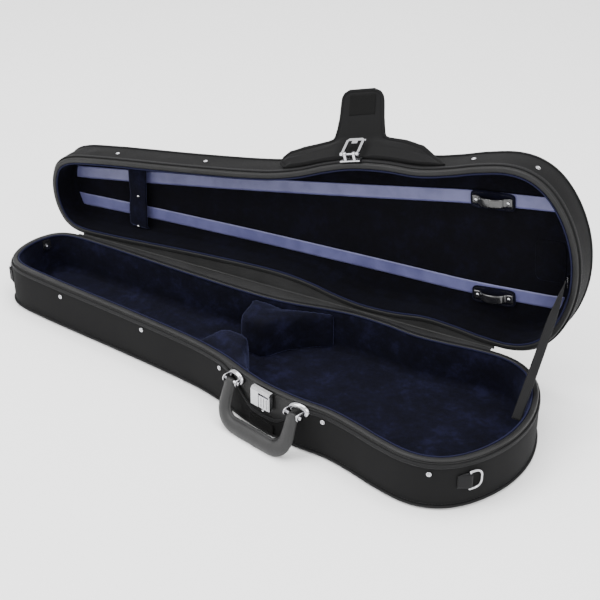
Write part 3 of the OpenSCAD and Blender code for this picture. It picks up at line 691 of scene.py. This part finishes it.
# velvet strap over both ribbons at the bow tips
y = np.linspace(-52, 54, 70)
xc = np.interp(y, [-50, 52], [-256, -270]); wd = 29 - 3.5 * np.exp(-(y / 9) ** 2) + .8 * wob(y / 9, y * 0, 1, 4)
zt = 97.7 + .6 * np.cos(y / 9.0)
zt = zt + np.clip((np.abs(y) - 46) / 7, 0, 1) * 7.5
o = strip("tip_strap", opened(np.c_[xc, y, zt]), UPL, wd, 2.2, "velvet", k=13, bulge=-.6)
done(o, "lid", ["bow_tip_strap"])
done(gather("tip_rivets", [place(RIVET, (px_, py_, 96.6), (0, 0, -1), 1.0, opened) for px_, py_ in ((-255, -45.5), (-262, 0), (-270, 48))], "chrome"),
     "lid", ["bow_tip_rivets"])

for (fx, fy), nm in (((273, -62), "upper"), ((272, 70), "lower")):
    # stitched base
    th = np.linspace(0, 2 * pi, 64, endpoint=False)
    sx = np.sign(np.cos(th)) * np.abs(np.cos(th)) ** .25 * 29; sy_ = np.sign(np.sin(th)) * np.abs(np.sin(th)) ** .45 * 11.5
    zb = Z_RIB - 2.3
    prof = [(1, 2.1), (1, .7), (.985, .2), (.94, 0), (.6, -.05), (.02, -.05)]
    P = np.stack([np.c_[fx + sx * q, fy + sy_ * q, np.full(64, zb + h)] for q, h in prof], 1)
    done(grid("frog_base_" + nm, opened(P), "velvet", cn=True), "lid", ["frog_pad_" + nm])
    parts = []
    for i in range(40):
        a0 = 2 * pi * (i + .15) / 40; a1 = 2 * pi * (i + .75) / 40
        q = []
        for aa, li in ((a0, .1), ((a0 + a1) / 2, -.3), (a1, .1)):
            q.append((fx + np.sign(math.cos(aa)) * abs(math.cos(aa)) ** .25 * 26.6, fy + np.sign(math.sin(aa)) * abs(math.sin(aa)) ** .45 * 9.4, zb - .1 + li))
        q = np.array(q)
        T, S, U = path_frames(q, np.array([1e-3, 1e-3, 1.]))
        c4 = np.linspace(0, 2 * pi, 5, endpoint=False)
        V = (q[:, None] + .25 * (np.cos(c4)[None, :, None] * S[:, None] + np.sin(c4)[None, :, None] * U[:, None])).reshape(-1, 3)
        parts.append((opened(V), grid_faces(3, 5, False, True)[0]))
    done(gather("frog_stitches_" + nm, parts, "thread", fix=False), "lid")
    # arched strap
    xs = np.r_[np.linspace(-26, -16.5, 8), np.linspace(-15.5, 15.5, 34), np.linspace(16.5, 26, 8)]
    hz2 = np.where(np.abs(xs) < 16.2, np.sqrt(np.clip(16.7 ** 2 - (xs) ** 2, 0, None)) * .62 - 1.2, .8)
    hz2 = np.convolve(np.pad(np.maximum(hz2, .8), 2, mode="edge"), np.ones(5) / 5, "valid")
    o = strip("frog_loop_" + nm, opened(np.c_[fx + xs, np.full(len(xs), fy), Z_RIB - 2.4 - hz2]), UPL, 11.5, 1.5, "patent", k=7, bulge=-.25)
    done(o, "lid", ["frog_strap_" + nm])
    done(gather("frog_studs_" + nm, [place(RIVET, (fx + q, fy, Z_RIB - 2.4 - 1.6), (0, 0, -1), 1.08, opened) for q in (-21, 21)], "chrome"),
         "lid", ["frog_rivets_" + nm])

# small stitched patch by the lower bout
th = np.linspace(0, 2 * pi, 72, endpoint=False)
sx = np.sign(np.cos(th)) * np.abs(np.cos(th)) ** .35 * 20; sy_ = np.sign(np.sin(th)) * np.abs(np.sin(th)) ** .35 * 28
P = np.stack([np.c_[346 + sx * q, 10 + sy_ * q, np.full(72, Z_FACE - h)] for q, h in ((1, .1), (1, .7), (.97, 1.1), (.9, .75), (.86, 1.15), (.5, 1.35), (.02, 1.4))], 1)
done(grid("pocket_patch", opened(P), "plush_lid", cn=True), "lid", ["lid_pocket_patch"])

# ------------------------------------------------------------------ press studs
def x_stud(x, z, xf=None, s=1.0):
    i = np.argmin(np.abs(OUT[:NH + 1, 0] - x))
    p = [x, np.interp(x, OUT[:NH + 1, 0], OUT[:NH + 1, 1]), z]
    return place(STUD, np.array(p) + .45 * np.r_[NRM[i], 0], np.r_[NRM[i], 0], s, xf)


done(gather("base_studs", [x_stud(*q) for q in ((-270, 49), (-122, 51), (17, 52), (186, 52), (335, 49))]
            + [place(STUD, front([1, 1.9, 31.5]), -FN, .76)], "chrome"), "case_base", ["base_press_studs"])
done(gather("lid_studs", [x_stud(*q, xf=opened) for q in ((-281, Z_LID + 22), (-135, Z_LID + 24), (254, Z_LID + 26), (335.6, Z_LID + 22))], "chrome"),
     "lid", ["lid_press_studs"])

# ------------------------------------------------------------------ vinyl gusset
def gusset(x0, x1, name, nodes):
    n = max(12, int((x1 - x0) / 4)); X = np.linspace(x0, x1, n)
    yb = np.interp(X, OUT[:NH + 1, 0], -OUT[:NH + 1, 1])
    q = np.c_[X, yb + .4, X * 0] - HP
    u, vo = q @ HX, q @ HN
    vo = np.minimum(vo, -2.2) - 4.5          # both edges are sewn in under the rims
    rows = []
    for f in np.linspace(0, 1, 8):
        rows.append((vo * (1 - f) - 2.0 * f, np.full(n, 66.0 - 59) + .25 * np.sin(pi * f)))
    for v0, w0 in ((-.3, 6.8), (1.6, 5.9), (3.6, 4.4), (5.6, 2.9), (7.3, 1.8), (8.6, 1.5), (9.25, 2.2)):
        rows.append((np.full(n, v0), np.full(n, w0)))
    lo = -vo
    for f in np.linspace(.0, 1, 9):
        rows.append((np.full(n, 9.4) + .2 * math.sin(pi * f), 3.2 * (1 - f) + lo * f))
    P = np.stack([HP + u[:, None] * HX + v[:, None] * HN + w[:, None] * EZ for v, w in rows], 1)
    P += (wob(X[:, None] / 30, np.arange(len(rows))[None] / 3., 1, 50) * .25)[..., None] * EZ
    # painted sheen: the vinyl's grey base colour stands in for the shine on the gusset
    o = grid(name, P, "vinyl")
    if nodes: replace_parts(o, *nodes)
    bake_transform(o)
    PLACED.append(o)


gusset(-350, 286, "gusset_sheet", ["gusset_base_leaf", "gusset_lid_leaf", "hinge_tape"])

# ------------------------------------------------------------------ stay
sa = opened(np.array([377, 15, 70.6])); sb = np.array([367, 34, 45.0])
t_ = np.linspace(0, 1, 60)
C = sa[None] * (1 - t_)[:, None] + sb[None] * t_[:, None]
dirn = (sb - sa) / np.linalg.norm(sb - sa)
across0 = np.cross(dirn, [0.0, 1.0, .1]); across0 /= np.linalg.norm(across0)
twist = np.deg2rad(np.interp(t_, [0, .12, .3, 1], [75, 45, 12, 0]))
P = []
for i in range(60):
    e1 = across0; e2 = np.cross(dirn, e1)
    s_ = math.cos(twist[i]) * e1 + math.sin(twist[i]) * e2; u_ = np.cross(dirn, s_)
    P.append([C[i] + a_ * 6 * s_ + b_ * u_ for a_, b_ in [(q, .6) for q in np.linspace(-1, 1, 7)] + [(q, -.6) for q in np.linspace(1, -1, 7)]])
o = grid("stay_webbing", np.array(P), "webbing", cm=True)
cap_ends(o, 0, 0)
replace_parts(o, "stay_strap")
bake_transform(o)

# ------------------------------------------------------------------ handle
LEAN = math.radians(-20)


def at_pivots(p):
    p = np.asarray(p, float) + np.array([6, -6, 57.])
    return front(p)


def lean(p):
    p = np.asarray(p, float); y_, z_ = p[..., 1], p[..., 2]
    c, s = math.cos(LEAN), math.sin(LEAN)
    return at_pivots(np.stack([p[..., 0], y_ * c - z_ * s, y_ * s + z_ * c], -1))


hx_ = 52.5
C = [(-hx_, 2.0), (-hx_, -6), (-hx_, -14), (-hx_, -20), (-hx_, -25)]
C += [(-hx_ + 22 - 22 * math.cos(a_), -29 - 22 * math.sin(a_)) for a_ in np.linspace(0.1, pi / 2 - .05, 9)]
C += [(x_, -51) for x_ in np.linspace(-24, 24, 15)]
C += [(hx_ - 22 + 22 * math.cos(a_), -29 - 22 * math.sin(a_)) for a_ in np.linspace(pi / 2 - .05, 0.1, 9)]
C += [(hx_, -25), (hx_, -20), (hx_, -14), (hx_, -6), (hx_, 2.0)]
C = np.array(C, float)
dl = np.r_[0, np.cumsum(np.linalg.norm(np.diff(C, axis=0), axis=1))]
sN = 150; sv = np.linspace(0, dl[-1], sN)
C = np.c_[np.interp(sv, dl, C[:, 0]), np.zeros(sN), np.interp(sv, dl, C[:, 1])]
C[:, 0] = np.convolve(np.pad(C[:, 0], 4, mode="edge"), np.ones(9) / 9, "valid")
C[:, 2] = np.convolve(np.pad(C[:, 2], 4, mode="reflect", reflect_type="odd"), np.ones(9) / 9, "valid")
T, S, U = path_frames(C, np.array([0, 1.0, 0]))
f_ = sv / dl[-1]
rr = np.interp(f_, [0, .03, .12, .25, .4, .6, .75, .88, .97, 1], [4.6, 5.8, 6.3, 7.2, 7.7, 7.7, 7.2, 6.3, 5.8, 4.6])
k = 32; aa = np.linspace(0, 2 * pi, k, endpoint=False)
# a raised seam runs along the outer and the inner edge of the grip
seam = 1 + .11 * np.exp(-(np.sin((aa) / 2) / .09) ** 2) + .09 * np.exp(-(np.cos((aa) / 2) / .09) ** 2)
seam -= .06 * np.exp(-((np.abs(np.angle(np.exp(1j * aa))) - .42) / .12) ** 2)
crease = 1 + .012 * wob(f_[:, None] * 60, aa[None], 1, 77)
R = rr[:, None] * seam[None] * crease * np.array([1.0])[None]
R = R * np.ones_like(aa)[None]
P = C[:, None] + (R * 1.36 * np.cos(aa)[None])[..., None] * S[:, None] + (R * .95 * np.sin(aa)[None])[..., None] * U[:, None]
o = grid("handle_roll", lean(P), "handle_leather", cm=True)
cap_ends(o, 0, 0)
done(o, "handle", ["handle_grip"])
# stitch rows beside the seams
parts = []
for side, off in ((0, .42), (0, -.42)):
    for i in range(12, 138, 2):
        q = []
        for j in (i, i + .6, i + 1.2):
            j0 = min(int(j), sN - 2); g = j - j0
            c_ = C[j0] * (1 - g) + C[j0 + 1] * g; r_ = rr[j0] * .97 + .15
            q.append(c_ + 1.36 * r_ * math.cos(off) * S[j0] + r_ * .95 * math.sin(off) * U[j0])
        q = np.array(q); T2, S2, U2 = path_frames(q, np.array([.01, 1.0, .02]))
        c4 = np.linspace(0, 2 * pi, 5, endpoint=False)
        V = (q[:, None] + .26 * (np.cos(c4)[None, :, None] * S2[:, None] + np.sin(c4)[None, :, None] * U2[:, None])).reshape(-1, 3)
        parts.append((lean(V), grid_faces(3, 5, False, True)[0]))
done(gather("handle_stitches", parts, "thread", fix=False), "handle")

# domed bracket covers, an eyebrow of bright metal over each eye
for s_, nm in ((-1, "left"), (1, "right")):
    cx = s_ * 51.5
    # the wall behind it, in pivot coordinates
    fx0 = np.argsort((np.c_[OUT[:NH + 1], np.zeros(NH + 1)] - FP) @ FX)
    lxx = ((np.c_[OUT[:NH + 1], np.zeros(NH + 1)] - FP) @ FX)[fx0]; lyy = ((np.c_[OUT[:NH + 1], np.zeros(NH + 1)] - FP) @ FN)[fx0]
    n1, n2 = 44, 14
    P = np.zeros((n1, n2, 3))
    for i, th_ in enumerate(np.linspace(math.radians(-14), math.radians(194), n1)):
        for j, q in enumerate(np.linspace(0, 1, n2)):
            # from the rim of the mouth out over a dome and down to the wall
            a_ = pi * q
            R0, hw_ = 10.6, 4.1 * math.sqrt(max(.05, math.sin((th_ + math.radians(18)) / math.radians(230) * pi)))
            rr_ = R0 - hw_ * math.cos(a_)
            x_, z_ = cx + rr_ * 1.12 * math.cos(th_), -1.5 + rr_ * .78 * math.sin(th_)
            w_ = np.interp(x_ + 6, lxx, lyy) + 6 + .8
            P[i, j] = (x_, w_ - 5.2 * math.sin(a_) ** .8, z_)
    o = grid("bracket_dome_" + nm, at_pivots(P), "chrome"); cap_ends(o, 0, 0)
    done(o, "case_base", ["handle_bracket_" + nm])
    # side cheeks and the pin between them
    parts = []
    for x_ in (-11.4, 9.6):
        th_ = np.linspace(0, 2 * pi, 26, endpoint=False)
        yz = np.c_[np.where(np.cos(th_) > 0, 5.5 + 6 * np.cos(th_), 4.6 * np.cos(th_)), 4.9 * np.sin(th_)]
        prof = [(0, .02), (0, .86), (.25, 1), (1.45, 1), (1.7, .86), (1.7, .02)]
        Q = np.stack([np.c_[np.full(26, cx + x_ + dx_), yz[:, 0] * k_ + 1.0 * (1 - k_), yz[:, 1] * k_] for dx_, k_ in prof], 1)
        parts.append((at_pivots(Q).reshape(-1, 3), grid_faces(26, len(prof), True, False)[0]))
    th_ = np.linspace(0, 2 * pi, 20, endpoint=False)
    Q = np.stack([np.c_[np.full(20, cx + x_), r_ * np.cos(th_), r_ * np.sin(th_)] for x_, r_ in ((-12.8, .02), (-12.8, 1.6), (-12.4, 2), (12.4, 2), (12.8, 1.6), (12.8, .02))], 1)
    parts.append((at_pivots(Q).reshape(-1, 3), grid_faces(20, 6, True, False)[0]))
    done(gather("bracket_cheeks_" + nm, parts, "chrome"), "case_base")
done(gather("handle_pin_ends", [place([(0, 2.0), (1.0, 1.8), (1.9, 1.1), (2.3, 0), (2.3, -.6), (0, -.6)], at_pivots([x_, 0, 0]), np.sign(x_) * FX, 1.0)
                                for x_ in (-64.0, -39.0, 39.0, 64.0)], "chrome"), "case_base")

# ------------------------------------------------------------------ strap ring tabs
ring_yaw = {"right": (math.radians(59.55), np.array([372.342, -89.388, 38.]), 1), "left": (math.radians(-52.06), np.array([-387.49, -41.838, 38.]), -1)}
for nm, (yw, pp, mir) in ring_yaw.items():
    ex = np.array([math.cos(yw), math.sin(yw), 0]); ey = np.array([-math.sin(yw), math.cos(yw), 0])
    prof = [(-15, 3.0), (-13, 2.4), (-9, .9), (-5, -1.2), (-2.4, -2.75), (0, -3.1), (2.1, -2.3), (3.05, -.4), (2.8, 1.2), (1.5, 2.5), (-2, 2.9), (-12, 3.0)]
    zz2 = np.linspace(-9, 9, 9)
    P = np.array([[pp + mir * ex * a_ + ey * b_ + EZ * (c_ * (1 - .02 * (a_ < -10))) for a_, b_ in prof] for c_ in zz2])
    o = grid("ring_tab_" + nm, P, "webbing", cm=True); cap_ends(o, 0, 0)
    done(o, "case_base", ["dring_tab_" + nm])

# ------------------------------------------------------------------ lid flap
kl = [0, 8, 18, 25, 29, 31, 33, 35, 38, 46, 62, 80, 88, 94, 98]
vl = [-106, -114, -113, -104, -84, -64, -48, -41, -38.5, -36, -33.5, -32.5, -31.5, -28, -20]
kr = [0, 8, 18, 26, 31, 32.5, 34, 36, 38, 46, 62, 80, 88, 94, 98]
vr = [126, 118, 104, 90, 66, 52, 42, 37, 35.5, 34, 32, 31, 29.5, 25, 16]
yy = np.r_[np.linspace(0, 28, 30), np.linspace(28.3, 38, 26), np.linspace(39, 92, 36), np.linspace(92.6, 98, 10)]
NS = 91
uu = .5 + .5 * (np.sin(np.linspace(-pi / 2, pi / 2, NS)) * .5 + np.linspace(-1, 1, NS) * .5)
lf, rt = np.interp(yy, kl, vl), np.interp(yy, kr, vr)
X2 = lf[:, None] + (rt - lf)[:, None] * uu[None]
Y2 = np.broadcast_to(yy[:, None], X2.shape)
yf = np.linspace(0, 98, 400)
edge_pts = np.vstack([np.c_[np.interp(yf, kl, vl), yf], np.c_[np.interp(yf, kr, vr), yf], np.c_[np.linspace(-20, 16, 30), np.full(30, 98.)]])
dist = np.min(np.hypot(X2[..., None] - edge_pts[:, 0], Y2[..., None] - edge_pts[:, 1]), -1)
T_ = 1.35 * np.sqrt(np.clip(1 - (1 - np.clip(dist / 2.2, 0, 1)) ** 2, 0, 1))
bar = np.clip((36 - Y2) / 12, 0, 1)
# the resting bail presses the padding in
dent = np.exp(-((X2 - 2.5) / 23) ** 6)
hf = T_ + bar * (1 - .95 * dent) * 3.0 * np.clip((dist - 5) / 9, 0, 1) ** .7 + .7 * (1 - .8 * dent * bar) * np.clip((dist - 5) / 10, 0, 1)
hf = hf - .9 * np.exp(-((dist - 4.4) / .8) ** 2) * (dist > 1) + .4 * wob(X2 / 16, Y2 / 13, 1, 91) * np.clip(dist / 8, 0, 1)
hb = T_ * .9 + .35 * np.clip(dist / 8, 0, 1) + bar * 5.5 * np.clip(dist / 9, 0, 1) ** .8
# lean along the length: flat on the wall, then up into the tongue
sg = np.linspace(0, 98, 400)
lean_ = np.radians(66 - 33 * np.clip((sg - 27) / 13, 0, 1) ** 2 * (3 - 2 * np.clip((sg - 27) / 13, 0, 1)) - 5 * np.clip((sg - 60) / 32, 0, 1))
og, ug = np.r_[0, np.cumsum(np.cos(lean_[:-1]) * np.diff(sg))], np.r_[0, np.cumsum(np.sin(lean_[:-1]) * np.diff(sg))]
fm = OUT[:NH + 1]
lx_ = (np.c_[fm, np.zeros(NH + 1)] - FP) @ FX; ly_ = (np.c_[fm, np.zeros(NH + 1)] - FP) @ FN
o_ = np.argsort(lx_)


def flap_xf(x, s, h):
    """x along the wall, s along the flap from its sewn edge, h off its middle towards the viewer"""
    x, s, h = np.broadcast_arrays(np.asarray(x, float), np.asarray(s, float), np.asarray(h, float))
    th = np.interp(s, sg, lean_)
    out = np.interp(s, sg, og) + h * np.sin(th) + 1.4
    up = np.interp(s, sg, ug) - h * np.cos(th)
    out = out - np.interp(x, lx_[o_], ly_[o_]) * np.clip(1 - (s - 16) / 26, 0, 1)
    return opened(front(np.stack([x, -out, up + Z_LID + 12.6], -1)))


top = flap_xf(X2, Y2, hf + .4); bot = flap_xf(X2, Y2, -hb + .4)
P = np.concatenate([top, bot[:, ::-1]], 1)
o = grid("flap_quilt", P, "canvas", cm=True)
cap_ends(o, 0, 0)
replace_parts(o, "lid_flap")
(flap_xf(0, 0, 0) / 1000).tolist()
(flap_xf(0, 14, 0) / 1000).tolist()
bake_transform(o)
# hook patch
gx, gs = np.meshgrid(np.linspace(-19, 19, 24), np.linspace(64, 90, 20), indexing="ij")
zb_ = 2.9 + .25 * np.abs(wob(gx * 3, gs * 3, 1, 66))
P = np.concatenate([flap_xf(gx, gs, zb_), flap_xf(gx, gs, zb_ * 0 + 1.6)[:, ::-1]], 1)
o = grid("flap_hook_patch", P, "hook_tape", cm=True); cap_ends(o, 0, 0)
done(o, "flap", ["flap_patch"])
# patch under the lock
gx, gz = np.meshgrid(np.linspace(-20, 20, 30), np.linspace(6, 19, 14), indexing="ij")
P = np.concatenate([front(np.stack([gx, -1.5 - .15 * np.abs(wob(gx * 3, gz * 3, 1, 67)), gz], -1)), front(np.stack([gx, gx * 0 - .3, gz], -1))[:, ::-1]], 1)
o = grid("lock_hook_patch", P, "hook_tape", cm=True); cap_ends(o, 0, 0)
done(o, "case_base", ["base_flap_patch"])

# ------------------------------------------------------------------ CAD hardware carried over
REPLACED = set()
for ob in bpy.data.objects:
    for q in ob.get("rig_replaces", []): REPLACED.add(q)
FINISH = {"scroll_tab": "patent"}
for nm, ob in frame["nodes"].items():
    if nm in REPLACED: continue
    ob.data.materials.clear(); ob.data.materials.append(MATS[FINISH.get(nm, "chrome")])
    if nm in ("lock_base", "lock_slide", "hasp_plate", "hasp_bail", "handle_bracket_left", "handle_bracket_right", "stay_base_anchor", "stay_lid_anchor", "scroll_tab"):
        b = ob.modifiers.new("edge", "BEVEL"); b.width = .00045; b.segments = 3; b.limit_method = "ANGLE"; b.angle_limit = math.radians(40)
        b.harden_normals = False

# ------------------------------------------------------------------ set
def plane(name, size, z, mat):
    o = mk(name, [(-size, -size, z), (size, -size, z), (size, size, z), (-size, size, z)], [(0, 1, 2, 3)], mat, smooth=False)
    return o


m, nt, b = material("floor", (.95, .95, .95), .9)
co = coords(nt)
nt.links.new(ramp(nt, noise(nt, co, 3, 2), [(.3, (.945, .945, .945)), (.7, (.96, .96, .96))]), b.inputs["Base Color"])
MATS["floor"] = m
plane("floor", 9000, -.5, "floor")

w = bpy.data.worlds.new("studio"); bpy.context.scene.world = w; w.use_nodes = True
w.node_tree.nodes["Background"].inputs[0].default_value = (1, 1, 1, 1)
w.node_tree.nodes["Background"].inputs[1].default_value = 1.7


def area(name, loc, to, size, power):
    L = bpy.data.lights.new(name, "AREA"); L.shape = "RECTANGLE"; L.size, L.size_y = size; L.energy = power
    o = bpy.data.objects.new(name, L); bpy.context.scene.collection.objects.link(o)
    o.location = loc
    o.rotation_euler = (Vector(to) - Vector(loc)).to_track_quat("-Z", "Y").to_euler()


area("key", (-.9, -1.3, 1.9), (0, 0, .05), (1.3, 1.3), 44)
area("side", (1.7, -.7, 1.2), (.1, 0, .08), (1.0, 1.2), 20)
area("top", (0, .2, 2.3), (0, 0, .05), (1.8, 1.2), 44)

cam = bpy.data.cameras.new("camera"); co_ = bpy.data.objects.new("camera", cam)
bpy.context.scene.collection.objects.link(co_)
az, el, dist_, roll = math.radians(34.394), math.radians(30.995), 1.093468, math.radians(.023)
tgt = Vector((.342433, -.382741, .408678))
back = Vector((math.sin(az) * math.cos(el), -math.cos(az) * math.cos(el), math.sin(el)))
co_.location = tgt + dist_ * back
co_.rotation_euler = back.to_track_quat("Z", "Y").to_euler()
cam.sensor_width = 36; cam.lens = 36 * 1320.947 / 600
cam.clip_start = .05; cam.clip_end = 60
bpy.context.scene.camera = co_
bpy.context.view_layer.update()
